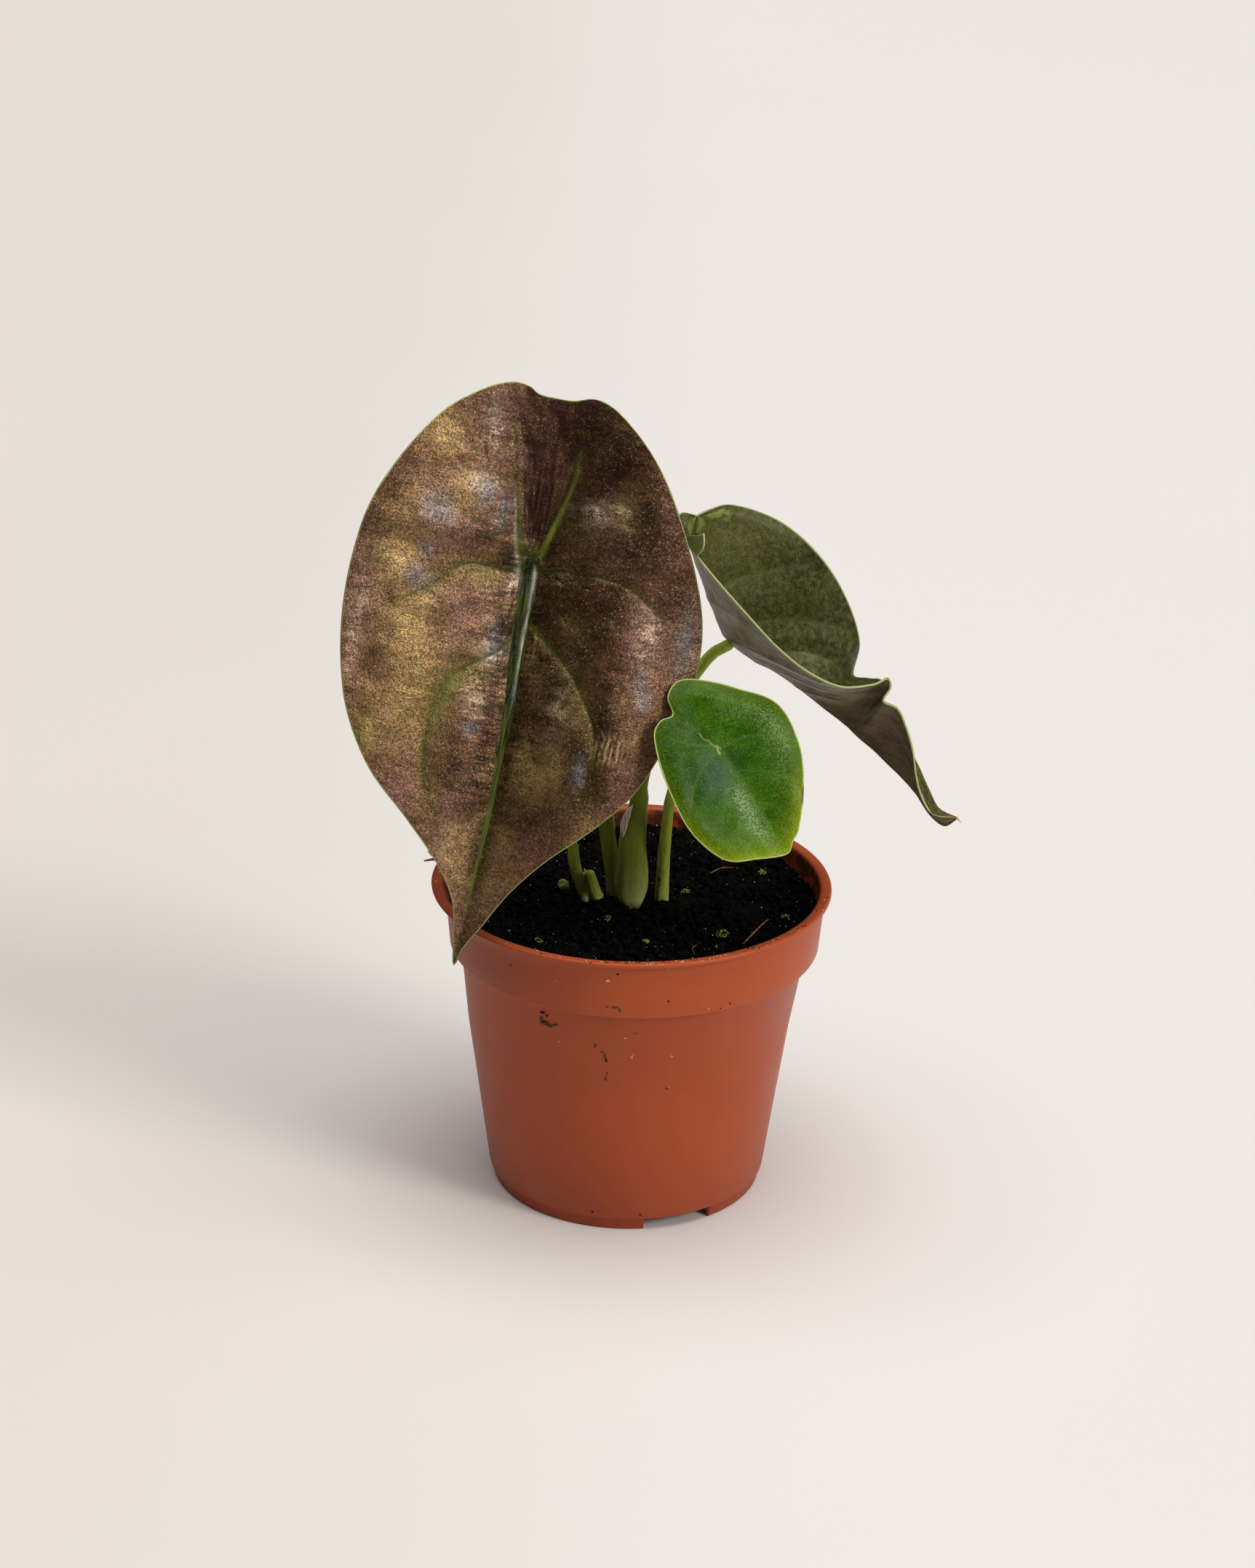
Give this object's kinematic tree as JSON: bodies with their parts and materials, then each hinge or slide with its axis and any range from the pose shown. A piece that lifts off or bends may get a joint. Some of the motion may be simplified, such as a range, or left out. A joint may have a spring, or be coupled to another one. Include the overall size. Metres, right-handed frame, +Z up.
{
  "type": "potted alocasia cuprea",
  "caption": "Young alocasia with copper shield-shaped leaves on pale green stalks, in a round terracotta nursery pot of dark peat.",
  "frame": {"origin": "on the ground under the middle of the whole outline, about 6 mm to the right of the pot's axis", "axes": "+Z up, +X to the right and -Y to the front, which is the side that the leaves face"},
  "size_m": [0.179, 0.12, 0.2487],
  "materials": {
    "terracotta_plastic": "satin terracotta-brown moulded plastic with specks of dried peat",
    "peat": "moist, fine, near-black peat",
    "root_flesh": "matt pale tan corm and roots",
    "copper_blade": "satin metallic copper-brown with dark green sunken veins",
    "folded_blade": "satin dark olive above, grey-purple underneath, thin pale margin",
    "young_blade": "satin fresh green with a pale margin",
    "petiole_flesh": "smooth satin pale green stalk"
  },
  "bodies": {
    "root": {"pot": "terracotta_plastic", "potting_soil": "peat", "corm_and_roots": "root_flesh", "large_leaf_blade": "copper_blade", "large_leaf_petiole": "petiole_flesh", "folded_leaf_blade": "folded_blade", "folded_leaf_petiole": "petiole_flesh", "young_leaf_blade": "young_blade", "young_leaf_petiole": "petiole_flesh", "old_petiole_stub": "petiole_flesh", "side_shoot": "petiole_flesh"}
  },
  "joints": []
}
